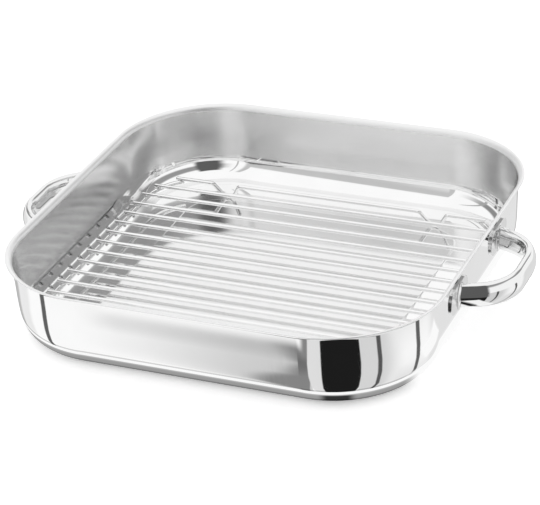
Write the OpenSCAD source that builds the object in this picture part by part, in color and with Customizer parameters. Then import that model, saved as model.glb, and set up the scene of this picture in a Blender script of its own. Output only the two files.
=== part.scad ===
// Square stainless roasting pan with two tube handles and a loose wire rack.
// Origin: middle of the pan's underside. +Z is up, the handles stand on the X sides,
// and the long wires of the rack run along X.

/* [Pan] */
// Length of the rim over its lip, from handle side to handle side
pan_length = 350; // [320:1:400]
// Width of the rim over its lip, from front to back
pan_width = 350; // [320:1:400]
// Height of the top of the lip above the table
pan_height = 65.4; // [60:0.2:90]
// Radius of the rim's corners, over the lip
pan_corner = 85; // [78:1:100]
// Thickness of the pressed sheet
sheet = 1; // [0.8:0.1:1.4]
// Radius of the flared pouring lip, on its upper face
lip_radius = 5.2; // [4:0.1:7]
// Lean of the walls from upright, in degrees
wall_draft = 3.8; // [2:0.1:6]
// Outer radius of the bend between the walls and the base
base_bend = 20; // [14:0.5:24]

/* [Base panel] */
// Width of the flat border between the base bend and the raised panel
panel_border = 28; // [22:0.5:40]
// Height that the panel is pressed up above the border
panel_rise = 0.8; // [0.4:0.1:1.2]
// Width of the sloping edge of the panel
panel_slope = 2; // [1.5:0.5:5]

/* [Handles] */
// Height of the handle tube's middle above the table
handle_level = 42; // [38:0.2:47]
// Distance between the middles of the two legs, where they meet the wall
handle_span = 96; // [86:1:120]
// Reach of the tube's centre line out from the wall
handle_reach = 36; // [32:0.5:50]
// Radius of the two bends of the grip, on the centre line
handle_bend = 36; // [30:0.5:40]
// Angle by which each leg leans towards the other, in degrees
leg_lean = 20; // [10:1:26]
// Height of the oval tube
tube_height = 19.6; // [16:0.2:22]
// Thickness of the oval tube, over its bulging sides
tube_depth = 10; // [8:0.2:12]
// Radius of the tube's upper and lower edge
tube_edge = 3.2; // [2.8:0.1:3.8]
// Wall of the tube
tube_wall = 1.2; // [0.8:0.1:1.6]

/* [Handle brackets] */
// Width of the welded plate along the wall
plate_width = 38; // [32:1:50]
// Height of the welded plate
plate_height = 22; // [20:0.5:25]
// Thickness of the welded plate
plate_thickness = 1.5; // [1:0.1:2]
// Corner radius of the welded plate
plate_corner = 9; // [5:0.5:9.5]
// Length of the plug that holds the tube, out from the plate
plug_length = 9; // [6:0.5:12]
// Gap between the plug and the tube's bore
plug_clearance = 0.15; // [0.1:0.05:0.3]
// Gap between the plate and the cut end of the tube
leg_clearance = 0.15; // [0.1:0.05:0.3]

/* [Rack] */
// Diameter of the long wires and of the two foot wires
wire_diameter = 3.2; // [2.5:0.1:4]
// Diameter of the two end rails
rail_diameter = 4; // [3:0.1:5]
// Aimed-at distance between neighbouring wires
wire_pitch = 17.2; // [14:0.1:22]
// Height of the wires' middles above the base border
rack_rise = 15.2; // [13:0.2:20]
// Gap between the foot of the side walls and the tips of the wires
rack_end_gap = 13.7; // [10:0.1:20]
// Gap between the foot of the front and back walls and the outermost wires
rack_side_gap = 46.7; // [44:0.1:60]
// How far the loose rack stands in front of the middle of the pan
rack_forward = 4.4; // [0:0.2:6]
// Length of the wire tips past the middle of the rails
wire_overhang = 3.5; // [3:0.5:6]
// Radius of the bends at the ends of the rails
rail_bend = 46; // [42:1:60]
// Length over which a rail bends in before it reaches the outermost wire
rail_bend_run = 35; // [20:1:38]
// Length of a rail past the outermost wire
rail_tip = 3; // [2.5:0.5:5]
// Depth to which the welds sink a wire into a rail
weld_bite = 0.15; // [0.05:0.05:0.2]

/* [Rack feet] */
// Distance from the tips of the long wires to the middle of a foot
foot_inset = 62; // [50:1:80]
// Radius of the bend at the top of a foot, on the centre line
foot_top_bend = 3.5; // [2.5:0.1:5]
// Radius of the round bottom of a foot, on the centre line
foot_sole_bend = 6.5; // [5:0.1:8]
// Slope of the two legs of a foot, in degrees
foot_slope = 60; // [50:1:75]
// Angle by which the feet splay outwards, in degrees
foot_splay = 20; // [10:1:25]
// Gap between the feet and the base
foot_gap = 0.3; // [0.2:0.1:0.5]

/* [Hidden] */
// Sides of the drawn circles
round_sides = 96;
// Thinning of the metal at the start and end of a bend, on each face
bend_thinning = 0.02;
// Length by which two neighbouring stretches of sheet or bar lap inside each other
lap = 0.3;

// Places of the corner centres, which every contour of the pan shares
centre_x = pan_length / 2 - pan_corner;
centre_y = pan_width / 2 - pan_corner;
// Centre of the lip's curve in the wall profile, measured out from a corner centre
lip_centre = [pan_corner, pan_height - lip_radius];
// Start of the lip on the inner and on the outer face of the wall
throat_in = lip_centre + lip_radius * [-cos(wall_draft), sin(wall_draft)];
throat_out = lip_centre + (lip_radius - sheet) * [-cos(wall_draft), sin(wall_draft)];
// Unit vector square to the wall, pointing outwards
wall_normal = [cos(wall_draft), -sin(wall_draft)];
// Distance from a corner centre to the start of the base bend
base_reach = (throat_in * wall_normal + base_bend * sin(wall_draft) - base_bend + sheet)
    / cos(wall_draft);
bend_centre = [base_reach, base_bend];
// Ends of the base bend on the two faces of the wall
bend_in = bend_centre + (base_bend - sheet) * wall_normal;
bend_out = bend_centre + base_bend * wall_normal;
// Outer and inner end of the sloping edge of the panel
panel_foot = base_reach - panel_border;
panel_top = panel_foot - panel_slope;

// Place of the outer wall face at a given height
function wall_face(z) = centre_x + throat_out[0] - (throat_out[1] - z) * tan(wall_draft);

// Handle tube: middle of its upper edge, and radius and middle of its bulging sides, which run
// smoothly into the two edges
edge_middle = tube_height / 2 - tube_edge;
side_radius = (pow(tube_depth / 2, 2) + pow(edge_middle, 2) - pow(tube_edge, 2))
    / (tube_depth - 2 * tube_edge);
side_middle = side_radius - tube_depth / 2;
// Height at which the sides meet the edges, as a share of their radius
meeting_share = edge_middle / (side_radius - tube_edge);
// Straight length of a leg from the wall to its bend
leg_length = (handle_reach - handle_bend * (1 - sin(leg_lean))) / cos(leg_lean);
leg_start = [wall_face(handle_level), -handle_span / 2];
// Straight length in the middle of the grip
grip_length = handle_span
    - 2 * (leg_length * sin(leg_lean) + handle_bend * cos(leg_lean));

// Half of the length and of the width of the pan's floor at the foot of the walls
floor_half_x = centre_x + base_reach + base_bend;
floor_half_y = centre_y + base_reach + base_bend;
wire_radius = wire_diameter / 2;
rail_radius = rail_diameter / 2;
rack_level = sheet + rack_rise;
rail_level = rack_level - wire_radius - rail_radius + weld_bite;
// Outermost wires, number of wires and the pitch that fills the rack evenly
rack_half_y = floor_half_y - rack_side_gap;
wire_count = round(2 * rack_half_y / wire_pitch) + 1;
wire_step = 2 * rack_half_y / (wire_count - 1);
// Rails: place of the straight part and half of its length
rail_x = floor_half_x - rack_end_gap - wire_overhang;
rail_half = rack_half_y - rail_bend_run;
rail_turn = asin(rail_bend_run / rail_bend);

// Half length of a wire at a distance y from the middle of the rack
function bend_part(y) = max(0, abs(y) - rail_half) / rail_bend;
function wire_half(y) =
    rail_x - rail_bend * (1 - sqrt(1 - pow(bend_part(y), 2))) + wire_overhang;
function wire_y(i) = (i - (wire_count - 1) / 2) * wire_step;

// Feet: depth of the dip along its splayed plane, and half of its width at the top
foot_x = rail_x + wire_overhang - foot_inset;
foot_depth = (rack_rise - foot_gap - wire_radius) / cos(foot_splay);
foot_leg_fall = foot_depth - (foot_top_bend + foot_sole_bend) * (1 - cos(foot_slope));
foot_leg = foot_leg_fall / sin(foot_slope);
foot_half = (foot_top_bend + foot_sole_bend) * sin(foot_slope)
    + foot_leg_fall / tan(foot_slope);

WIRES = [for (i = [1:wire_count - 2]) i];

// Part of a ring between two radii and two angles, less than half a turn apart
module ring_part(middle, outer, inner, from, to) {
    far = 2 * outer;
    translate(middle) intersection() {
        difference() {
            circle(r = outer, $fn = round_sides);
            circle(r = inner, $fn = round_sides);
        }
        polygon([
            [0, 0],
            far * [cos(from), sin(from)],
            far * [cos((from + to) / 2), sin((from + to) / 2)],
            far * [cos(to), sin(to)]
        ]);
    }
}

// Cut through the sheet from a corner centre out to the edge of the lip
module pan_profile() {
    ironed = bend_thinning * wall_normal;
    run_on = lap * [sin(wall_draft), cos(wall_draft)];
    polygon([[0, panel_rise], [panel_top, panel_rise], [panel_foot, 0], [base_reach, 0],
        [base_reach, sheet], [panel_foot, sheet], [panel_top, panel_rise + sheet],
        [0, panel_rise + sheet]]);
    ring_part(bend_centre, base_bend, base_bend - sheet, -90, -wall_draft);
    polygon([
        bend_out - run_on - ironed,
        throat_out + run_on - ironed,
        throat_in + run_on + ironed,
        bend_in - run_on + ironed
    ]);
    ring_part(lip_centre, lip_radius, lip_radius - sheet, 90, 180 - wall_draft);
}

// Carries a profile round the four corners and along the four sides
module round_the_pan() {
    for (side = [0:3]) {
        across = side % 2 == 0 ? centre_x : centre_y;
        along = side % 2 == 0 ? centre_y : centre_x;
        rotate([0, 0, 90 * side]) translate([across, along, 0]) {
            rotate_extrude(angle = 90, $fn = round_sides) children();
            rotate([90, 0, 0]) linear_extrude(2 * along) children();
        }
    }
}

module pan_body() {
    color("silver") union() {
        round_the_pan() pan_profile();
        translate([-centre_x, -centre_y, panel_rise])
            cube([2 * centre_x, 2 * centre_y, sheet]);
    }
}

// Outline of the handle tube with its long side upright, drawn in by a given amount
module tube_outline(inset) {
    for (end = [-1, 1])
        translate([0, end * edge_middle]) circle(r = tube_edge - inset, $fn = round_sides);
    intersection() {
        translate([-side_middle, 0]) circle(r = side_radius - inset, $fn = round_sides);
        translate([side_middle, 0]) circle(r = side_radius - inset, $fn = round_sides);
        square([tube_depth, 2 * meeting_share * (side_radius - inset)], center = true);
    }
}

// Cross-section of a bar, thinned by a given amount: the hollow tube, or round
module bar_section(radius, thinning) {
    if (radius > 0) circle(r = radius - thinning, $fn = round_sides);
    else difference() {
        tube_outline(thinning);
        tube_outline(tube_wall - thinning);
    }
}

// Straight bar along +X. What follows it is drawn on from its end.
module straight(length, radius = 0) {
    rotate([90, 0, 90]) linear_extrude(length) bar_section(radius, 0);
    translate([length, 0, 0]) children();
}

// Bend to the left by a positive angle and to the right by a negative one.
// What follows it is drawn on from its end.
module curve(bend, angle, radius = 0) {
    side = sign(angle);
    lap_angle = lap / bend * 180 / PI;
    mirror([0, (1 - side) / 2, 0]) translate([0, bend, 0]) rotate([0, 0, -90 - lap_angle])
        rotate_extrude(angle = abs(angle) + 2 * lap_angle, $fn = round_sides)
            translate([bend, 0]) bar_section(radius, bend_thinning);
    translate([0, side * bend, 0]) rotate([0, 0, angle]) translate([0, -side * bend, 0])
        children();
}

// Frame at the start of the front leg: +X out along the leg, +Z up
module at_leg() {
    translate([leg_start[0], leg_start[1], handle_level]) rotate([0, 0, leg_lean]) children();
}

// Frame of the outer wall face: +X square to the wall, origin level with the handle
module on_wall() {
    translate([wall_face(handle_level), 0, handle_level]) rotate([0, wall_draft, 0]) children();
}

module handle() {
    block = 2 * tube_height;
    turn = 90 - leg_lean;
    color("gainsboro") difference() {
        at_leg() translate([-tube_height, 0, 0])
            straight(tube_height + leg_length) curve(handle_bend, turn)
            straight(grip_length) curve(handle_bend, turn)
            straight(tube_height + leg_length);
        on_wall()
            translate([plate_thickness + leg_clearance - block, -handle_span, -block])
                cube([block, 2 * handle_span, 2 * block]);
    }
}

module handle_right() { handle(); }
module handle_left() { mirror([1, 0, 0]) handle(); }

// Outline of the welded plate
module plate_outline() {
    for (x = [-1, 1], y = [-1, 1])
        translate([x * (plate_width / 2 - plate_corner), y * (plate_height / 2 - plate_corner)])
            circle(r = plate_corner, $fn = round_sides);
    square([plate_width - 2 * plate_corner, plate_height], center = true);
    square([plate_width, plate_height - 2 * plate_corner], center = true);
}

// Plate on the wall at the front leg, with the plug that the tube is pushed over
module bracket() {
    block = 2 * plate_width;
    color("lightgrey") {
        on_wall() translate([0, -handle_span / 2, 0])
            rotate([90, 0, 90]) linear_extrude(plate_thickness) plate_outline();
        intersection() {
            at_leg() translate([-plug_length, 0, 0]) rotate([90, 0, 90])
                linear_extrude(2 * plug_length) tube_outline(tube_wall + plug_clearance);
            on_wall() translate([plate_thickness / 2, -handle_span, -block / 2])
                cube([block, 2 * handle_span, block]);
        }
    }
}

module bracket_right_front() { bracket(); }
module bracket_right_back() { mirror([0, 1, 0]) bracket(); }
module bracket_left_front() { mirror([1, 0, 0]) bracket(); }
module bracket_left_back() { mirror([1, 0, 0]) mirror([0, 1, 0]) bracket(); }

// Frame of the rack: origin in the middle of its wires
module in_rack() { translate([0, -rack_forward, rack_level]) children(); }

module rack_wire(i) {
    half = wire_half(wire_y(i));
    color("whitesmoke") in_rack() translate([-half, wire_y(i), 0])
        straight(2 * half, wire_radius);
}

// Dip of a foot wire to the base and back up, splayed about the wire's own line
module foot() {
    rotate([foot_splay, 0, 0]) curve(foot_top_bend, -foot_slope, wire_radius)
        straight(foot_leg, wire_radius) curve(foot_sole_bend, 2 * foot_slope, wire_radius)
        straight(foot_leg, wire_radius) curve(foot_top_bend, -foot_slope, wire_radius)
        rotate([-foot_splay, 0, 0]) children();
}

// Wire along the back of the rack, with two feet
module foot_wire() {
    half = wire_half(rack_half_y);
    outer = half - foot_x - foot_half;
    in_rack() translate([-half, rack_half_y, 0]) rotate([90, 0, 0])
        straight(outer, wire_radius) foot()
        straight(2 * (foot_x - foot_half), wire_radius) foot()
        straight(outer, wire_radius);
}

module rack_foot_wire_back() { color("whitesmoke") foot_wire(); }
module rack_foot_wire_front() {
    color("whitesmoke") translate([0, -2 * rack_forward, 0]) mirror([0, 1, 0]) foot_wire();
}

// Rail under the wire tips, with both ends bent inwards
module rail() {
    color("silver") translate([rail_x, -rack_forward, rail_level]) rotate([0, 0, 90])
        for (end = [0, 1]) mirror([end, 0, 0]) translate([-lap, 0, 0])
            straight(lap + rail_half, rail_radius) curve(rail_bend, rail_turn, rail_radius)
            straight(rail_tip, rail_radius);
}

module rack_rail_right() { rail(); }
module rack_rail_left() { mirror([1, 0, 0]) rail(); }

pan_body();
handle_left();
handle_right();
bracket_left_front();
bracket_left_back();
bracket_right_front();
bracket_right_back();
rack_rail_left();
rack_rail_right();
rack_foot_wire_front();
rack_foot_wire_back();
for (i = WIRES)
    rack_wire(i);
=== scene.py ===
# Looks of the square roasting pan with two tube handles and a loose wire rack.
# Sizes are in metres. X runs from handle to handle, -Y is the viewer's side, +Z is up.

import math

import bpy
import numpy as np
from mathutils import Matrix, Vector


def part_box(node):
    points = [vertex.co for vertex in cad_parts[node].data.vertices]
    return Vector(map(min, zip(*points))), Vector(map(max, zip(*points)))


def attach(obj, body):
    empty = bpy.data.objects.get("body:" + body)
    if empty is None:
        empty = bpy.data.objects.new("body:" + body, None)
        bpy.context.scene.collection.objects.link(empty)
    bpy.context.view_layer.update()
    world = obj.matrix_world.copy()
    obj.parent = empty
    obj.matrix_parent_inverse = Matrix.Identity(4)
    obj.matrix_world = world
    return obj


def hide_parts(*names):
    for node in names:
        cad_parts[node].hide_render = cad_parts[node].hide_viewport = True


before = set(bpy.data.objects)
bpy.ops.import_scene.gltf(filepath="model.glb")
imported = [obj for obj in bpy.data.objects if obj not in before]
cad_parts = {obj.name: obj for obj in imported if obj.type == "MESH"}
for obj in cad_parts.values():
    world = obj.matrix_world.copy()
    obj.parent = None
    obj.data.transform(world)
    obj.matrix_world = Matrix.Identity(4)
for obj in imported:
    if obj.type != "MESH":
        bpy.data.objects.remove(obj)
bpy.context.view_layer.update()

# Camera, as worked out from the outlines in the photograph
IMAGE_SIZE = (540, 505)
PRINCIPAL_PIXEL = (274.74, 280.46)
FOCAL_PIXELS = 2275.0
VIEW_AZIMUTH = 24.28
VIEW_ELEVATION = 29.14
VIEW_ROLL = -3.71
VIEW_DISTANCE = 1.80532
# Height of the point on the pan's axis that the camera looks at
VIEW_LIFT = 0.0014
SENSOR_WIDTH = 36.0
VIEW_END = 50.0

# Pan
PAN_CORNER = 0.085
SHEET = 0.001
LIP_RADIUS = 0.0052
WALL_DRAFT = math.radians(3.8)
# The drawn wall bows a little: radius of each arc of its outer face and the lean from upright at
# which it ends, from the base up. Above them the wall flares out to the lip.
WALL_ARCS = [(0.020, 20.5), (0.032, 8.0), (0.115, 3.0), (0.570, 2.0)]
THROAT_LEAN = math.radians(6)
# Number of arcs, from the base up, that are polished inside
POLISHED_ARCS = 2
PANEL_BORDER = 0.028
PANEL_RISE = 0.0008
PANEL_SLOPE = 0.002
# Flat strip inside the panel's edge. Within it the panel is one face.
PANEL_STRIP = 0.004
# Metals of the pan, and the number of each on its skin
# The floor's metal is darker than the polished steel round it: that darkness is painted shade, while
# its faint brushing is its own
PAN_METALS = ["floor_steel_with_painted_shade", "polished_steel", "satin_steel", "lip_steel"]
FLOOR, POLISHED, SATIN, LIP = range(len(PAN_METALS))

# Handles and their plates
HANDLE_SPAN = 0.096
HANDLE_BEND = 0.036
LEG_LEAN = math.radians(20)
TUBE_DEPTH = 0.010
TUBE_EDGE = 0.0032
PLATE_WIDTH = 0.038
PLATE_HEIGHT = 0.022
PLATE_THICKNESS = 0.0015
PLATE_CORNER = 0.009
# Shares of the plate's thickness: the radius of its rounded edge, and how high above the wall
# the tube's ends lie inside it
PLATE_EDGE_SHARE = 0.35
TUBE_END_SHARE = 0.8
# How deep the plate's skin reaches into the wall
PLATE_SUNK = 0.0004
# Radius of the hollow fillet between tube and plate. It stands off the tube by the fillet's gap
# and reaches as deep into the plate.
FILLET = 0.0022
FILLET_GAP = 0.00005

# Rack
RAIL_BEND = 0.046
# How far along Y a rail's curved end runs
RAIL_CURVE = 0.035
RAIL_TURN = math.asin(RAIL_CURVE / RAIL_BEND)
RAIL_TIP = 0.003
FOOT_INSET = 0.062
FOOT_TOP_BEND = 0.0035
FOOT_SOLE_BEND = 0.0065
FOOT_SLOPE = math.radians(60)
FOOT_SPLAY = math.radians(20)
FOOT_GAP = 0.0003
# Radius of the rounded edge round the end of a wire
TIP_BEVEL = 0.0009

# Fineness of the meshes, as the number of steps or points in each stretch
CORNER_STEPS = 40
SIDE_STEPS = 14
STRIP_STEPS = 2
PANEL_EDGE_STEPS = 8
BORDER_STEPS = 12
LIP_STEPS = 14
LIP_EDGE_STEPS = 10
ROUND_SIDES = 28
SIDE_POINTS = 18
EDGE_POINTS = 12
TIP_STEPS = 5
LEG_STEPS = 4
HANDLE_BEND_STEPS = 48
PLATE_EDGE_STEPS = 8
PLATE_CORNER_STEPS = 12
FILLET_STEPS = 10
WIRE_STEPS = 24
RAIL_STEPS = 16
RAIL_BEND_STEPS = 28
FOOT_RUN_STEPS = 8
FOOT_TOP_STEPS = 10
FOOT_SOLE_STEPS = 20
# Degrees of lean in one step of the wall's arcs, and the fewest steps that an arc has
WALL_STEP = 3
WALL_LEAST_STEPS = 6
# Points of an outline that are nearer than this are one point
SAME_POINT = 1e-7

# A quarter turn
QUARTER = math.pi / 2
# Signs of the two coordinates at four corners, in the order of the turn
CORNER_SIGNS = [(1, 1), (-1, 1), (-1, -1), (1, -1)]


class Outline:
    """Curve in a plane, with the normal on its left and the distance along it at each point."""

    def __init__(self):
        self.points = []
        self.normals = []

    def add(self, point, normal):
        self.points.append(np.array(point, float))
        self.normals.append(np.array(normal, float))

    def line(self, start, end, steps=1):
        start, end = np.array(start, float), np.array(end, float)
        along = (end - start) / np.linalg.norm(end - start)
        for step in range(steps + 1):
            self.add(start + (end - start) * step / steps, (-along[1], along[0]))

    def arc(self, centre, radius, start, end, steps):
        """Arc between two angles. The normal points to the centre where the angle grows."""
        way = -1 if end > start else 1
        for step in range(steps + 1):
            angle = start + (end - start) * step / steps
            out = np.array([math.cos(angle), math.sin(angle)])
            self.add(np.array(centre) + radius * out, way * out)

    def arrays(self):
        """Points, normals and distances, without the points that repeat the one before."""
        points, normals = np.array(self.points), np.array(self.normals)
        gaps = np.linalg.norm(np.diff(points, axis=0), axis=1)
        kept = np.concatenate([[True], gaps > SAME_POINT])
        points, normals = points[kept], normals[kept]
        gaps = np.linalg.norm(np.diff(points, axis=0), axis=1)
        return points, normals, np.concatenate([[0.0], np.cumsum(gaps)])

    def closed(self):
        """The same for a closed curve, whose last point is the first one again."""
        points, normals, distances = self.arrays()
        return points[:-1], normals[:-1], distances


class Route:
    """Centre line of a bar, drawn from straight runs and bends. Each place is a point with its
    heading, its left and its up."""

    def __init__(self, start, heading, left):
        self.point = Vector(start)
        self.heading = Vector(heading)
        self.left = Vector(left)
        self.places = []
        self.mark()

    def mark(self):
        up = self.heading.cross(self.left)
        self.places.append([np.array(v) for v in (self.point, self.heading, self.left, up)])

    def straight(self, length, steps=1):
        for _ in range(steps):
            self.point = self.point + self.heading * length / steps
            self.mark()

    def bend(self, radius, angle, steps):
        """Turns to the left by a positive angle and to the right by a negative one."""
        up = self.heading.cross(self.left)
        centre = self.point + self.left * math.copysign(radius, angle)
        turn = Matrix.Rotation(angle / steps, 3, up)
        for _ in range(steps):
            self.point = centre + turn @ (self.point - centre)
            self.heading = turn @ self.heading
            self.left = turn @ self.left
            self.mark()

    def roll(self, angle):
        self.left = Matrix.Rotation(angle, 3, self.heading) @ self.left

    def distances(self):
        """Distance along the route at each place."""
        gaps = np.linalg.norm(np.diff([place[0] for place in self.places], axis=0), axis=1)
        return [0.0] + np.cumsum(gaps).tolist()


def round_distances(points):
    """Distance along a closed row of points, at each of them and back at the first."""
    steps = np.linalg.norm(np.roll(points, -1, axis=0) - points, axis=1)
    return np.concatenate([[0.0], np.cumsum(steps)])


def laid(flat, across, up):
    """Flat points or normals, laid out along two directions in space."""
    return np.outer(flat[:, 0], across) + np.outer(flat[:, 1], up)


def loft(name, rings, normals, along, around, materials, regions=None):
    """Closed skin through equal rings of points, with flat ends, exact normals and a UV map in
    metres. regions gives the material's number for each strip between two rings."""
    rings, normals = np.array(rings), np.array(normals)
    count, sides = rings.shape[:2]
    quads = []
    for row in range(count - 1):
        for side in range(sides):
            after = (side + 1) % sides
            quads.append((row * sides + side, row * sides + after,
                          (row + 1) * sides + after, (row + 1) * sides + side))
    corners = rings.reshape(-1, 3)
    facing = normals.reshape(-1, 3)
    first = corners[list(quads[0])]
    outward = np.dot(np.cross(first[1] - first[0], first[3] - first[0]), facing[quads[0][0]]) > 0
    ends = [tuple(range(sides))[::-1], tuple((count - 1) * sides + s for s in range(sides))]
    faces = quads + ends
    if not outward:
        faces = [face[::-1] for face in faces]
    mesh = bpy.data.meshes.new(name)
    mesh.from_pydata(corners.tolist(), [], faces)
    for material in materials:
        mesh.materials.append(material)
    layer = mesh.uv_layers.new(name="UVMap")
    for number, face in enumerate(mesh.polygons):
        row, side = divmod(number, sides)
        if row < count - 1:
            spots = {(row * sides + side): (row, side),
                     (row * sides + (side + 1) % sides): (row, side + 1),
                     ((row + 1) * sides + (side + 1) % sides): (row + 1, side + 1),
                     ((row + 1) * sides + side): (row + 1, side)}
            for loop in face.loop_indices:
                at = spots[mesh.loops[loop].vertex_index]
                layer.data[loop].uv = (along[at[0]], around[at[1]])
            if regions is not None:
                face.material_index = regions[row]
        else:
            for loop in face.loop_indices:
                spot = corners[mesh.loops[loop].vertex_index]
                layer.data[loop].uv = (spot[0], spot[1])
            if regions is not None:
                face.material_index = regions[0] if number == len(quads) else regions[-1]
        face.use_smooth = True
    mesh.validate()
    mesh.normals_split_custom_set_from_vertices(facing.tolist())
    piece = bpy.data.objects.new(name, mesh)
    bpy.context.scene.collection.objects.link(piece)
    return piece


def dress(piece, body, slot, *nodes):
    """Lets a piece ride on a body and stand for its CAD nodes. Its slot is not used."""
    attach(piece, body)
    if nodes:
        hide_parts(*nodes)


def oval_tube():
    """Outline of the handle tube, with bulging sides that run into two round edges. Left is its
    depth, and up is its height."""
    outline = Outline()
    middle = TUBE_HEIGHT / 2 - TUBE_EDGE
    radius = ((TUBE_DEPTH / 2) ** 2 + middle ** 2 - TUBE_EDGE ** 2) / (TUBE_DEPTH - 2 * TUBE_EDGE)
    shift = radius - TUBE_DEPTH / 2
    turn = math.asin(middle / (radius - TUBE_EDGE))
    outline.arc((-shift, 0), radius, turn, -turn, SIDE_POINTS)
    outline.arc((0, -middle), TUBE_EDGE, -turn, turn - math.pi, EDGE_POINTS)
    outline.arc((shift, 0), radius, turn - math.pi, -turn - math.pi, SIDE_POINTS)
    outline.arc((0, middle), TUBE_EDGE, math.pi - turn, turn, EDGE_POINTS)
    return outline.closed()


def round_bar(radius):
    """Outline of a round bar."""
    outline = Outline()
    outline.arc((0, 0), radius, 2 * math.pi, 0, ROUND_SIDES)
    return outline.closed()


def box_middle(node):
    low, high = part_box(node)
    return (low + high) / 2


# Shape of the pan

pan_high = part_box("pan_body")[1]
CENTRE_X = pan_high.x - PAN_CORNER
CENTRE_Y = pan_high.y - PAN_CORNER
LIP_CENTRE = np.array([PAN_CORNER, pan_high.z - LIP_RADIUS])


def wall_out(lean):
    """Direction square to the wall, outwards, where it leans by an angle."""
    return np.array([math.cos(lean), -math.sin(lean)])


THROAT_OUT = LIP_CENTRE - (LIP_RADIUS - SHEET) * wall_out(WALL_DRAFT)


def wall_bends():
    """Arcs of the outer face, each with its centre, its radius and the lean at its two ends. The
    flare's radius is negative, because its centre lies outside. Also gives the base's reach."""
    top = LIP_CENTRE - (LIP_RADIUS - SHEET) * wall_out(THROAT_LEAN)
    leans = [QUARTER] + [math.radians(lean) for _, lean in WALL_ARCS]
    radii = [radius for radius, _ in WALL_ARCS]
    climb = sum(radius * (math.sin(start) - math.sin(end))
                for radius, start, end in zip(radii, leans, leans[1:]))
    radii.append(-(top[1] - climb) / (math.sin(THROAT_LEAN) - math.sin(leans[-1])))
    leans.append(THROAT_LEAN)
    point, bends = np.zeros(2), []
    for radius, start, end in zip(radii, leans, leans[1:]):
        centre = point - radius * wall_out(start)
        point = centre + radius * wall_out(end)
        bends.append((centre, radius, start, end))
    reach = top[0] - point[0]
    return [(centre + (reach, 0), *rest) for centre, *rest in bends], reach


WALL_BENDS, BASE_REACH = wall_bends()
PANEL_FOOT = BASE_REACH - PANEL_BORDER
PANEL_TOP = PANEL_FOOT - PANEL_SLOPE


def wall_face(height):
    """Distance of the outer wall face from the pan's middle, at a height."""
    return CENTRE_X + THROAT_OUT[0] - (THROAT_OUT[1] - height) * math.tan(WALL_DRAFT)


def panel_edge(outline, level, inwards):
    """The pressed edge between the border and the panel, as a soft step of two arcs."""
    length = math.hypot(PANEL_SLOPE, PANEL_RISE)
    slope = 2 * math.atan2(PANEL_RISE, PANEL_SLOPE)
    radius = length / 4 / math.sin(slope / 2)
    high = np.array([PANEL_TOP, level + PANEL_RISE])
    low = np.array([PANEL_FOOT, level])
    arcs = [(high - (0, radius), QUARTER, QUARTER - slope),
            (low + (0, radius), -QUARTER - slope, -QUARTER)]
    if inwards:
        arcs = [(centre, end, start) for centre, start, end in arcs[::-1]]
    for centre, start, end in arcs:
        outline.arc(centre, radius, start, end, PANEL_EDGE_STEPS)


def wall_stretch(outline, bends, inset, upwards):
    """One face of the wall: the given bends, drawn in by an inset, up or down."""
    for centre, radius, start, end in bends if upwards else bends[::-1]:
        reach = radius - inset
        turn = 0 if reach > 0 else math.pi
        first, last = (start, end) if upwards else (end, start)
        steps = max(WALL_LEAST_STEPS, round(abs(math.degrees(end - start)) / WALL_STEP))
        outline.arc(centre, abs(reach), turn - first, turn - last, steps)


def pan_section():
    """Cut through the sheet, from the panel's top out over the lip and back along the underside.
    Also gives the material's number of each stretch."""
    outline = Outline()
    marks = []
    middle_radius = LIP_RADIUS - SHEET / 2
    wall_angle = math.pi - THROAT_LEAN
    lip_end = QUARTER + math.asin(SHEET / 2 / middle_radius)
    lip_middle = LIP_CENTRE + middle_radius * np.array([math.cos(lip_end), math.sin(lip_end)])

    def strip(start, end, level):
        outline.line((start, level), (end, level), STRIP_STEPS)

    def border(start, end, level):
        outline.line((start, level), (end, level), BORDER_STEPS)

    def mark(metal):
        marks.append((len(outline.points), metal))

    strip(PANEL_TOP - PANEL_STRIP, PANEL_TOP, SHEET + PANEL_RISE)
    mark(FLOOR)
    panel_edge(outline, SHEET, False)
    border(PANEL_FOOT, BASE_REACH, SHEET)
    wall_stretch(outline, WALL_BENDS[:POLISHED_ARCS], SHEET, True)
    mark(POLISHED)
    wall_stretch(outline, WALL_BENDS[POLISHED_ARCS:], SHEET, True)
    mark(SATIN)
    outline.arc(LIP_CENTRE, LIP_RADIUS, wall_angle, lip_end, LIP_STEPS)
    outline.arc(lip_middle, SHEET / 2, lip_end, lip_end - math.pi, LIP_EDGE_STEPS)
    mark(LIP)
    outline.arc(LIP_CENTRE, LIP_RADIUS - SHEET, lip_end, wall_angle, LIP_STEPS)
    wall_stretch(outline, WALL_BENDS, 0, False)
    border(BASE_REACH, PANEL_FOOT, 0)
    panel_edge(outline, 0, True)
    strip(PANEL_TOP, PANEL_TOP - PANEL_STRIP, PANEL_RISE)
    mark(POLISHED)
    raw = np.array(outline.points)
    points, normals, distances = outline.arrays()
    regions = []
    for place in (points[:-1] + points[1:]) / 2:
        nearest = int(np.argmin(np.linalg.norm((raw[:-1] + raw[1:]) / 2 - place, axis=1)))
        regions.append(next(metal for end, metal in marks if nearest < end))
    return points, normals, distances, regions


def stations():
    """Places round the pan, on four corner arcs joined by four straight sides: the centre of
    each and the direction outwards from it."""
    centres, turns = [], []
    for corner, sign in enumerate(CORNER_SIGNS):
        centre = np.array([sign[0] * CENTRE_X, sign[1] * CENTRE_Y])
        following = CORNER_SIGNS[(corner + 1) % len(CORNER_SIGNS)]
        target = np.array([following[0] * CENTRE_X, following[1] * CENTRE_Y])
        for step in range(CORNER_STEPS + 1):
            centres.append(centre)
            turns.append((corner + step / CORNER_STEPS) * QUARTER)
        for step in range(1, SIDE_STEPS):
            centres.append(centre + (target - centre) * step / SIDE_STEPS)
            turns.append((corner + 1) * QUARTER)
    return np.array(centres), np.column_stack([np.cos(turns), np.sin(turns)])


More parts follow.
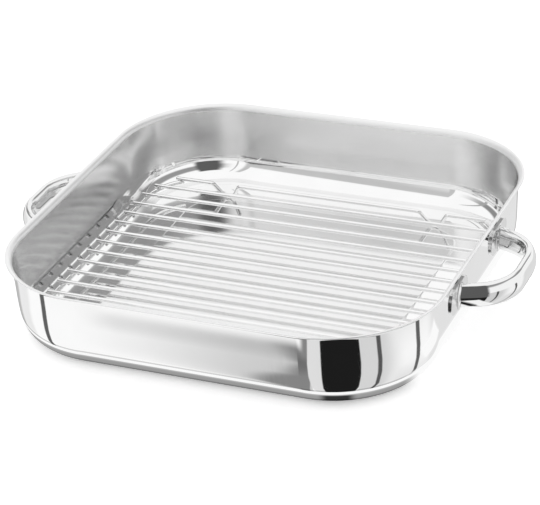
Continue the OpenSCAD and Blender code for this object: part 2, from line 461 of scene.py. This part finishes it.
def pan_shell(materials):
    """The pan's whole skin: its section carried round the corners and sides."""
    points, leans, along, regions = pan_section()
    centres, out = stations()
    rings, normals = [], []
    for (reach, level), lean in zip(points, leans):
        rings.append(np.column_stack([centres + out * reach, np.full(len(out), level)]))
        normals.append(np.column_stack([out * lean[0], np.full(len(out), lean[1])]))
    around = round_distances(centres + out * BASE_REACH)
    piece = loft("pan_shell", rings, normals, along, around, materials, regions)
    dress(piece, "pan", "pan_steel", "pan_body")


# Handles

HANDLE_LEVEL = box_middle("handle_right").z
handle_low, handle_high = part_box("handle_right")
TUBE_HEIGHT = handle_high.z - handle_low.z
HANDLE_REACH = handle_high.x - wall_face(HANDLE_LEVEL) - TUBE_DEPTH / 2
LEG_LENGTH = (HANDLE_REACH - HANDLE_BEND * (1 - math.sin(LEG_LEAN))) / math.cos(LEG_LEAN)
GRIP_LENGTH = HANDLE_SPAN - 2 * (LEG_LENGTH * math.sin(LEG_LEAN) + HANDLE_BEND * math.cos(LEG_LEAN))
PLATE_OUT = np.array([math.cos(WALL_DRAFT), 0, -math.sin(WALL_DRAFT)])


def side_name(side):
    return "right" if side > 0 else "left"


def corner_name(side, end):
    return side_name(side) + ("_back" if end > 0 else "_front")


def leg_frame(side, end):
    """Point on the wall, heading and left of a leg. side is 1 for the right handle, and end is
    -1 for its front leg."""
    point = np.array([side * wall_face(HANDLE_LEVEL), end * HANDLE_SPAN / 2, HANDLE_LEVEL])
    heading = np.array([side * math.cos(LEG_LEAN), -end * math.sin(LEG_LEAN), 0])
    return point, heading, np.cross([0, 0, 1], heading)


def slide_to_plate(ring, heading, side, height):
    """Moves the points of a ring along a leg to a height above the plate's foot on the wall."""
    out = PLATE_OUT * (side, 1, 1)
    foot = np.array([side * wall_face(HANDLE_LEVEL), 0, HANDLE_LEVEL]) + out * height
    return ring + np.outer(((foot - ring) @ out) / (heading @ out), heading)


def handle(side, material):
    """Bow handle of oval tube, cut flush with its two plates."""
    route = Route(*leg_frame(side, -1))
    turn = side * (QUARTER - LEG_LEAN)
    route.straight(LEG_LENGTH, LEG_STEPS)
    route.bend(HANDLE_BEND, turn, HANDLE_BEND_STEPS)
    route.straight(GRIP_LENGTH, LEG_STEPS)
    route.bend(HANDLE_BEND, turn, HANDLE_BEND_STEPS)
    route.straight(LEG_LENGTH, LEG_STEPS)
    points, outward, around = oval_tube()
    rings = [middle + laid(points, left, up) for middle, _, left, up in route.places]
    normals = [laid(outward, left, up) for _, _, left, up in route.places]
    for tip in (0, -1):
        rings[tip] = slide_to_plate(rings[tip], route.places[tip][1], side,
                                    PLATE_THICKNESS * TUBE_END_SHARE)
    piece = loft("handle_tube_" + side_name(side), rings, normals, route.distances(), around,
                 [material])
    dress(piece, "pan", "handle_steel", "handle_" + side_name(side))


def plate(side, end, material):
    """Plate welded to the wall, with a rounded edge."""
    out = PLATE_OUT * (side, 1, 1)
    up = np.array([side * math.sin(WALL_DRAFT), 0, math.cos(WALL_DRAFT)])
    origin = leg_frame(side, end)[0]
    edge = PLATE_THICKNESS * PLATE_EDGE_SHARE
    section = Outline()
    section.line((0, -PLATE_SUNK), (0, PLATE_THICKNESS - edge))
    section.arc((-edge, PLATE_THICKNESS - edge), edge, 0, QUARTER, PLATE_EDGE_STEPS)
    shape, leans, along = section.arrays()
    turns, middles = [], []
    for corner, sign in enumerate(CORNER_SIGNS):
        for step in range(PLATE_CORNER_STEPS + 1):
            turns.append((corner + step / PLATE_CORNER_STEPS) * QUARTER)
            middles.append((sign[0] * (PLATE_WIDTH / 2 - PLATE_CORNER),
                            sign[1] * (PLATE_HEIGHT / 2 - PLATE_CORNER)))
    middles = np.array(middles)
    radial = np.column_stack([np.cos(turns), np.sin(turns)])
    rings, normals = [], []
    for (inset, height), lean in zip(shape, -leans):
        flat = middles + radial * (PLATE_CORNER + inset)
        rings.append(origin + out * height + laid(flat, (0, 1, 0), up))
        normals.append(lean[0] * laid(radial, (0, 1, 0), up) + lean[1] * out)
    name = corner_name(side, end)
    piece = loft("plate_" + name, rings, normals, along, round_distances(rings[0]), [material])
    dress(piece, "pan", "bracket_steel", "bracket_" + name)


def neck(side, end, material):
    """Hollow fillet where the tube meets its plate."""
    point, heading, left = leg_frame(side, end)
    points, outward, around = oval_tube()
    rings, normals, along = [], [], []
    for step in range(FILLET_STEPS + 1):
        turn = QUARTER * step / FILLET_STEPS
        spread, height = FILLET * (1 - math.sin(turn)), FILLET * (1 - math.cos(turn))
        ring = point + laid(points + outward * (spread + FILLET_GAP), left, (0, 0, 1))
        rings.append(slide_to_plate(ring, heading, side, PLATE_THICKNESS + height - FILLET_GAP))
        lean = laid(outward, left, (0, 0, 1))
        normals.append(lean * math.sin(turn) + heading * math.cos(turn))
        along.append(FILLET * turn)
    piece = loft("neck_" + corner_name(side, end), rings, normals, along, around, [material])
    dress(piece, "pan", "bracket_steel")


# Rack

wire_low, wire_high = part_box("rack_wire_1")
WIRE_RADIUS = (wire_high.z - wire_low.z) / 2
WIRE_LEVEL = box_middle("rack_wire_1").z
rail_low, rail_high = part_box("rack_rail_right")
RAIL_RADIUS = (rail_high.z - rail_low.z) / 2


def rack_bar(node, route, radius, material):
    """Round bar of the rack along a route, with a rounded edge round each end."""
    points, outward, around = round_bar(radius)
    rings, normals, along = [], [], []
    places, distances = route.places, route.distances()

    def ring(number, shift, inset, lean):
        point, heading, left, up = places[number]
        rings.append(point + heading * shift + laid(points - outward * inset, left, up))
        normals.append(laid(outward, left, up) * math.cos(lean) + heading * math.sin(lean))
        along.append(distances[number] + shift)

    def bevel(number, way, lean):
        ring(number, way * TIP_BEVEL * (1 - math.sin(lean)), TIP_BEVEL * (1 - math.cos(lean)),
             -way * lean)

    for step in range(TIP_STEPS):
        bevel(0, 1, QUARTER * (1 - step / TIP_STEPS))
    ring(0, TIP_BEVEL, 0, 0)
    for number in range(1, len(places) - 1):
        ring(number, 0, 0, 0)
    ring(-1, -TIP_BEVEL, 0, 0)
    for step in range(1, TIP_STEPS + 1):
        bevel(-1, -1, QUARTER * step / TIP_STEPS)
    piece = loft(node.replace("rack_", "bright_"), rings, normals, along, around, [material])
    dress(piece, "rack", "rack_chrome", node)


def rack_wire(node, material):
    """Straight wire."""
    low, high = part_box(node)
    route = Route((low.x, (low.y + high.y) / 2, WIRE_LEVEL), (1, 0, 0), (0, 1, 0))
    route.straight(high.x - low.x, WIRE_STEPS)
    rack_bar(node, route, WIRE_RADIUS, material)


def rack_rail(side, material):
    """End rail: a straight run with both ends curved in."""
    node = "rack_rail_" + side_name(side)
    low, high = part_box(node)
    middle_y = (low.y + high.y) / 2
    reach = (high.y - low.y) / 2
    curved = RAIL_BEND * math.sin(RAIL_TURN) + RAIL_TIP * math.cos(RAIL_TURN)
    half = reach - curved - RAIL_RADIUS * math.sin(RAIL_TURN)
    straight_x = (high.x if side > 0 else -low.x) - RAIL_RADIUS
    tip_x = straight_x - RAIL_BEND * (1 - math.cos(RAIL_TURN)) - RAIL_TIP * math.sin(RAIL_TURN)
    start = (side * tip_x, middle_y - half - curved, (low.z + high.z) / 2)
    heading = Vector((side * math.sin(RAIL_TURN), math.cos(RAIL_TURN), 0))
    route = Route(start, heading, Vector((0, 0, 1)).cross(heading))
    route.straight(RAIL_TIP)
    route.bend(RAIL_BEND, side * RAIL_TURN, RAIL_BEND_STEPS)
    route.straight(2 * half, RAIL_STEPS)
    route.bend(RAIL_BEND, side * RAIL_TURN, RAIL_BEND_STEPS)
    route.straight(RAIL_TIP)
    rack_bar(node, route, RAIL_RADIUS, material)


def foot_wire(node, outwards, material):
    """Outermost wire with two feet that dip to the base. outwards is 1 for the back one. The
    feet are measured from the tip of the middle wire."""
    low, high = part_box(node)
    wire_y = low.y + WIRE_RADIUS if outwards > 0 else high.y - WIRE_RADIUS
    foot_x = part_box("rack_wire_7")[1].x - FOOT_INSET
    depth = (WIRE_LEVEL - WIRE_RADIUS - SHEET - FOOT_GAP) / math.cos(FOOT_SPLAY)
    fall = depth - (FOOT_TOP_BEND + FOOT_SOLE_BEND) * (1 - math.cos(FOOT_SLOPE))
    leg = fall / math.sin(FOOT_SLOPE)
    half_foot = (FOOT_TOP_BEND + FOOT_SOLE_BEND) * math.sin(FOOT_SLOPE) + fall / math.tan(FOOT_SLOPE)
    route = Route((low.x, wire_y, WIRE_LEVEL), (1, 0, 0), (0, 0, 1))
    route.straight(high.x - foot_x - half_foot, FOOT_RUN_STEPS)
    for following in (2 * (foot_x - half_foot), high.x - foot_x - half_foot):
        route.roll(outwards * FOOT_SPLAY)
        route.bend(FOOT_TOP_BEND, -FOOT_SLOPE, FOOT_TOP_STEPS)
        route.straight(leg)
        route.bend(FOOT_SOLE_BEND, 2 * FOOT_SLOPE, FOOT_SOLE_STEPS)
        route.straight(leg)
        route.bend(FOOT_TOP_BEND, -FOOT_SLOPE, FOOT_TOP_STEPS)
        route.roll(-outwards * FOOT_SPLAY)
        route.straight(following, FOOT_RUN_STEPS)
    rack_bar(node, route, WIRE_RADIUS, material)


# Materials

# Finish of each metal: how bright it is, its lowest and highest roughness, how much its fine
# brushing is squeezed along and across the UV map, and how high the brushing stands
FINISHES = {
    # The raised panel's steel is darker than the polished border round it: painted shade. Its faint
    # brushing is its own finish.
    "floor_steel_with_painted_shade": (0.88, 0.04, 0.07, (60.0, 900.0), 0.000001),
    "polished_steel": (0.97, 0.03, 0.06, (40.0, 600.0), 0.0),
    "satin_steel": (0.90, 0.19, 0.235, (900.0, 40.0), 0.000001),
    "lip_steel": (0.94, 0.40, 0.46, (900.0, 40.0), 0.000001),
    "handle_steel": (0.90, 0.03, 0.06, (40.0, 400.0), 0.0),
    "plate_steel": (0.82, 0.14, 0.19, (200.0, 200.0), 0.0),
    "rack_chrome": (0.96, 0.03, 0.05, (100.0, 500.0), 0.0),
}
BRUSHING_NOISE = {"Scale": 1.0, "Detail": 4.0, "Roughness": 0.6}
CLOUD_NOISE = {"Scale": 22.0, "Detail": 3.0}
# Values of both noises together between which the roughness changes, and values of the clouds
# between which the brightness changes, with the shares of it that they give
ROUGHNESS_SPAN = (0.7, 1.3)
CLOUD_SPAN = (0.35, 0.65)
CLOUD_SHARES = (0.97, 1.0)


class Nodes:
    """Short way to write a node tree."""

    def __init__(self, tree):
        self.tree = tree
        tree.nodes.clear()

    def add(self, kind, inputs=None, **settings):
        """Node of a kind, with links or values in its inputs. Gives its outputs."""
        node = self.tree.nodes.new(kind)
        for key, value in settings.items():
            setattr(node, key, value)
        for key, value in (inputs or {}).items():
            if isinstance(value, bpy.types.NodeSocket):
                self.tree.links.new(value, node.inputs[key])
            else:
                node.inputs[key].default_value = value
        return node.outputs

    def math(self, operation, *values):
        """Result of an operation on one to three numbers."""
        return self.add("ShaderNodeMath", dict(enumerate(values)), operation=operation)["Value"]

    def vector(self, operation, *values):
        """Result of an operation on one or two vectors."""
        outputs = self.add("ShaderNodeVectorMath", dict(enumerate(values)), operation=operation)
        return outputs["Value" if operation == "LENGTH" else "Vector"]

    def ranged(self, value, source, target, **settings):
        """A value carried from one range to another."""
        return self.add("ShaderNodeMapRange", {
            "Value": value, "From Min": source[0], "From Max": source[1],
            "To Min": target[0], "To Max": target[1]}, **settings)["Result"]

    def step(self, value, middle, width, falls=False):
        """Smooth change from 0 to 1 round a middle value, or from 1 to 0."""
        return self.ranged(value, (middle - width / 2, middle + width / 2),
                           (float(falls), float(not falls)), interpolation_type="SMOOTHSTEP")

    def product(self, first, *others):
        for other in others:
            first = self.math("MULTIPLY", first, other)
        return first

    def between(self, value, ends, widths):
        """1 between two values and 0 outside them, with a soft end at each."""
        return self.product(self.step(value, ends[0], widths[0]),
                            self.step(value, ends[1], widths[1], True))

    def light(self, strength):
        """Even white light."""
        return self.add("ShaderNodeEmission", {"Color": (1.0, 1.0, 1.0, 1.0),
                                               "Strength": strength})["Emission"]

    def over(self, mask, under, upper):
        """One shader over another, as strong as the mask."""
        return self.add("ShaderNodeMixShader", {0: mask, 1: under, 2: upper})["Shader"]


def steel(name, bright, rough_low, rough_high, grain, relief):
    """Bare metal with a finish."""
    material = bpy.data.materials.new(name)
    material.use_nodes = True
    nodes = Nodes(material.node_tree)
    place = nodes.add("ShaderNodeTexCoord")
    stretched = nodes.add("ShaderNodeMapping", {"Vector": place["UV"],
                                                "Scale": (grain[0], grain[1], 1.0)})["Vector"]
    brushing = nodes.add("ShaderNodeTexNoise", {"Vector": stretched, **BRUSHING_NOISE})["Fac"]
    clouds = nodes.add("ShaderNodeTexNoise", {"Vector": place["Object"], **CLOUD_NOISE})["Fac"]
    rough = nodes.ranged(nodes.math("ADD", brushing, clouds), ROUGHNESS_SPAN,
                         (rough_low, rough_high))
    tint = nodes.ranged(clouds, CLOUD_SPAN, CLOUD_SHARES)
    shade = nodes.add("ShaderNodeVectorMath", {0: (bright, bright, bright), "Scale": tint},
                      operation="SCALE")["Vector"]
    bump = nodes.add("ShaderNodeBump", {"Height": brushing, "Strength": 1.0,
                                        "Distance": relief})["Normal"]
    shader = nodes.add("ShaderNodeBsdfPrincipled", {
        "Base Color": shade, "Roughness": rough, "Metallic": 1.0, "Normal": bump})["BSDF"]
    nodes.add("ShaderNodeOutputMaterial", {"Surface": shader})
    return material


metals = {name: steel(name, *finish) for name, finish in FINISHES.items()}

pan_shell([metals[name] for name in PAN_METALS])
for side in (-1, 1):
    handle(side, metals["handle_steel"])
    rack_rail(side, metals["rack_chrome"])
    for end in (-1, 1):
        plate(side, end, metals["plate_steel"])
        neck(side, end, metals["plate_steel"])
foot_wire("rack_foot_wire_front", -1, metals["rack_chrome"])
foot_wire("rack_foot_wire_back", 1, metals["rack_chrome"])
for node in sorted(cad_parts):
    if node.startswith("rack_wire_"):
        rack_wire(node, metals["rack_chrome"])


# Studio

# Screens that the bright metal mirrors. Directions are in degrees, with azimuth 0 towards the
# viewer's side and 90 towards +X. Each screen has its azimuths, its elevations, the softness of
# its first and last edge and of its top and foot, its brightness and its slant, which is how far
# its azimuths move for each degree below SLANT_LEVEL.
SLANT_LEVEL = -33
SCREENS = [
    ((-190, -120), (-90, -8), (10, 14), 12, 0.50, 0),
    ((-122, -97), (-90, -5), (10, 10), 12, 0.84, 0),
    ((-74, -67), (-90, -12), (1.5, 1), 6, 0.12, 0.58),
    ((-28.3, -8), (-90, -12), (7, 1), 6, 0.63, 0.4),
    ((-23.5, -8), (-90, -12), (1.2, 1), 6, 0.24, 0.6),
    ((-23.5, -8), (-36.5, -12), (1.0, 1), 2.5, 0.165, 0.6),
    ((-14, 63), (-90, -10), (1, 4), 6, 0.76, 0),
    ((1.5, 45.5), (-90, -5), (1, 1), 4, 0.0125, 0.1),
    ((45.5, 86), (-90, -10), (1, 30), 6, 0.68, 0),
    ((64.5, 69.5), (-90, -10), (1, 1), 4, 0.09, 0),
    ((86, 140), (-90, -38), (24, 8), 16, 0.80, 0),
    ((115, 121), (-90, -10), (1, 1), 4, 0.12, -0.3),
    ((140, 180), (-90, -10), (16, 8), 6, 0.78, 0),
    ((10, 168), (20, 42), (30, 10), 8, 0.31, 0),
    ((-141, -54), (16, 31), (4, 50), 6, 0.27, 0),
    ((14, 48), (-29, 53), (14, 8), 4, 0.11, 0),
    ((-7, -5), (5, 60), (1, 1), 6, 0.45, 0),
    ((-25, -17), (5, 60), (1, 6), 6, 0.55, 0),
    ((-72, -68), (5, 60), (1, 1), 6, 0.40, 0),
]

# Table: half its width, how bright its paint is, and a glow that only the camera sees
TABLE_HALF = 6.0
TABLE_PAINT = 0.95
TABLE_GLOW = 0.36
# What the metal mirrors in the table round the foot of the pan, by the distance from the centre
# of a corner: how bright each band is, where it ends and how soft that end is. Past the last one
# the table mirrors the screens, first behind a thin line of shade under the edge of the lip.
TABLE_BANDS = [(0.02, 0.068, 0.010), (0.34, 0.0785, 0.005), (0.52, 0.0805, 0.0012),
               (1.0, 0.0858, 0.0006)]
LIP_LINE = {"end": 0.0888, "fade": 0.0020, "strength": 0.35}
# Darkest part of that shade, at the two right corners. Its azimuths are seen from the corner's
# centre, with 0 straight away from the pan's middle line and 90 towards +X.
CORNER_SHADE = {"azimuths": (10, 29), "edges": (7, 7), "end": 0.0785, "fade": 0.003,
                "strength": 0.9}
# Along the right side there is only light under the lip, from an azimuth on.
SIDE_LIGHT = {"azimuth": 72, "edge": 18, "end": 0.0893, "fade": 0.003}
# Light in the table in front of the pan and behind it, from a distance on, and the depth and
# strength of a faint shade before it
FRONT_LIGHT = {"azimuths": (-55, -8), "edges": (5, 5), "start": 0.140, "fade": 0.005,
               "shade_depth": 0.007, "shade_strength": 0.16}
# Light in the table under the front leg of the right handle
LEG_LIGHT = {"x": (0.187, 0.209), "y": (-0.0895, -0.035), "edges": (0.006, 0.006)}


def studio_world():
    """Plain white surroundings, with screens that only the mirroring metal sees."""
    world = bpy.data.worlds.new("studio")
    bpy.context.scene.world = world
    world.use_nodes = True
    nodes = Nodes(world.node_tree)
    place = nodes.add("ShaderNodeTexCoord")["Generated"]
    axes = nodes.add("ShaderNodeSeparateXYZ", {"Vector": place})
    towards = nodes.math("MULTIPLY", axes["Y"], -1.0)
    azimuth = nodes.math("DEGREES", nodes.math("ARCTAN2", axes["X"], towards))
    elevation = nodes.math("DEGREES", nodes.math("ARCSINE", axes["Z"]))
    level = 1.0
    for azimuths, elevations, edges, ends, brightness, slant in SCREENS:
        turn = nodes.math("MULTIPLY_ADD", elevation, -slant, slant * SLANT_LEVEL)
        across = nodes.math("ADD", azimuth, turn)
        mask = nodes.product(nodes.between(across, azimuths, edges),
                             nodes.between(elevation, elevations, (ends, ends)))
        level = nodes.add("ShaderNodeMix", {0: mask, 2: level, 3: brightness},
                          data_type="FLOAT")[0]
    ray = nodes.add("ShaderNodeLightPath")
    seen = nodes.add("ShaderNodeMix", {0: ray["Is Glossy Ray"], 2: 1.0, 3: level},
                     data_type="FLOAT")[0]
    back = nodes.add("ShaderNodeBackground", {"Color": seen, "Strength": 1.0})["Background"]
    nodes.add("ShaderNodeOutputWorld", {"Surface": back})


def table_top():
    """Plain pale floor that the pan stands on. Mirroring metal sees only the shade and light
    round the pan in it, and past that the screens."""
    mesh = bpy.data.meshes.new("table_top")
    corners = [(-TABLE_HALF, -TABLE_HALF, 0), (TABLE_HALF, -TABLE_HALF, 0),
               (TABLE_HALF, TABLE_HALF, 0), (-TABLE_HALF, TABLE_HALF, 0)]
    mesh.from_pydata(corners, [], [(0, 1, 2, 3)])
    top = bpy.data.objects.new("table_top", mesh)
    bpy.context.scene.collection.objects.link(top)
    material = bpy.data.materials.new("white_table")
    material.use_nodes = True
    mesh.materials.append(material)
    nodes = Nodes(material.node_tree)
    ray = nodes.add("ShaderNodeLightPath")
    paint = nodes.add("ShaderNodeBsdfDiffuse", {
        "Color": (TABLE_PAINT, TABLE_PAINT, TABLE_PAINT, 1.0)})["BSDF"]
    black, white = nodes.light(0.0), nodes.light(1.0)
    glow = nodes.over(ray["Is Camera Ray"], black, nodes.light(TABLE_GLOW))
    painted = nodes.add("ShaderNodeAddShader", {0: paint, 1: glow})["Shader"]

    place = nodes.add("ShaderNodeTexCoord")["Object"]
    corner = nodes.vector("SUBTRACT", nodes.vector("ABSOLUTE", place), (CENTRE_X, CENTRE_Y, 0.0))
    distance = nodes.vector("LENGTH", nodes.vector("MAXIMUM", corner, (0.0, 0.0, 0.0)))
    axes = nodes.add("ShaderNodeSeparateXYZ", {"Vector": place})
    aside = nodes.math("SUBTRACT", axes["X"], CENTRE_X)
    away = nodes.add("ShaderNodeSeparateXYZ", {"Vector": corner})["Y"]
    azimuth = nodes.math("DEGREES", nodes.math("ARCTAN2", aside, away))

    through = nodes.add("ShaderNodeBsdfTransparent")["BSDF"]
    line = nodes.step(distance, LIP_LINE["end"], LIP_LINE["fade"], True)
    mirrored = nodes.over(nodes.product(line, LIP_LINE["strength"]), through, black)
    for brightness, end, fade in TABLE_BANDS[::-1]:
        mirrored = nodes.over(nodes.step(distance, end, fade, True), mirrored,
                              nodes.light(brightness))
    shade = nodes.product(
        nodes.between(azimuth, CORNER_SHADE["azimuths"], CORNER_SHADE["edges"]),
        nodes.step(distance, CORNER_SHADE["end"], CORNER_SHADE["fade"], True),
        CORNER_SHADE["strength"])
    mirrored = nodes.over(shade, mirrored, black)
    light = nodes.product(
        nodes.step(azimuth, SIDE_LIGHT["azimuth"], SIDE_LIGHT["edge"]),
        nodes.step(distance, SIDE_LIGHT["end"], SIDE_LIGHT["fade"], True))
    mirrored = nodes.over(light, mirrored, white)
    sector = nodes.between(azimuth, FRONT_LIGHT["azimuths"], FRONT_LIGHT["edges"])
    start, depth = FRONT_LIGHT["start"], FRONT_LIGHT["shade_depth"]
    shade = nodes.product(sector, nodes.step(distance, start - depth, depth),
                          FRONT_LIGHT["shade_strength"])
    mirrored = nodes.over(shade, mirrored, black)
    light = nodes.product(sector, nodes.step(distance, start, FRONT_LIGHT["fade"]))
    mirrored = nodes.over(light, mirrored, white)
    light = nodes.product(nodes.between(axes["X"], LEG_LIGHT["x"], LEG_LIGHT["edges"]),
                          nodes.between(axes["Y"], LEG_LIGHT["y"], LEG_LIGHT["edges"]))
    mirrored = nodes.over(light, mirrored, white)
    nodes.add("ShaderNodeOutputMaterial", {
        "Surface": nodes.over(ray["Is Glossy Ray"], painted, mirrored)})


def camera():
    """Camera at the photograph's place, with its roll and its off-centre frame."""
    azimuth, elevation = math.radians(VIEW_AZIMUTH), math.radians(VIEW_ELEVATION)
    roll = math.radians(VIEW_ROLL)
    back = Vector((math.sin(azimuth) * math.cos(elevation),
                   -math.cos(azimuth) * math.cos(elevation), math.sin(elevation)))
    level_right = Vector((math.cos(azimuth), math.sin(azimuth), 0))
    level_up = back.cross(level_right)
    right = level_right * math.cos(roll) + level_up * math.sin(roll)
    up = level_up * math.cos(roll) - level_right * math.sin(roll)
    data = bpy.data.cameras.new("camera")
    data.sensor_width = SENSOR_WIDTH
    data.lens = FOCAL_PIXELS / IMAGE_SIZE[0] * SENSOR_WIDTH
    data.shift_x = -(PRINCIPAL_PIXEL[0] - IMAGE_SIZE[0] / 2) / IMAGE_SIZE[0]
    data.shift_y = (PRINCIPAL_PIXEL[1] - IMAGE_SIZE[1] / 2) / IMAGE_SIZE[0]
    data.clip_end = VIEW_END
    eye = bpy.data.objects.new("camera", data)
    bpy.context.scene.collection.objects.link(eye)
    place = back * VIEW_DISTANCE + Vector((0, 0, VIEW_LIFT))
    turned = Matrix((right, up, back)).transposed().to_4x4()
    eye.matrix_world = Matrix.Translation(place) @ turned
    bpy.context.scene.camera = eye


table_top()
studio_world()
camera()
bpy.context.scene.view_settings.view_transform = "Standard"
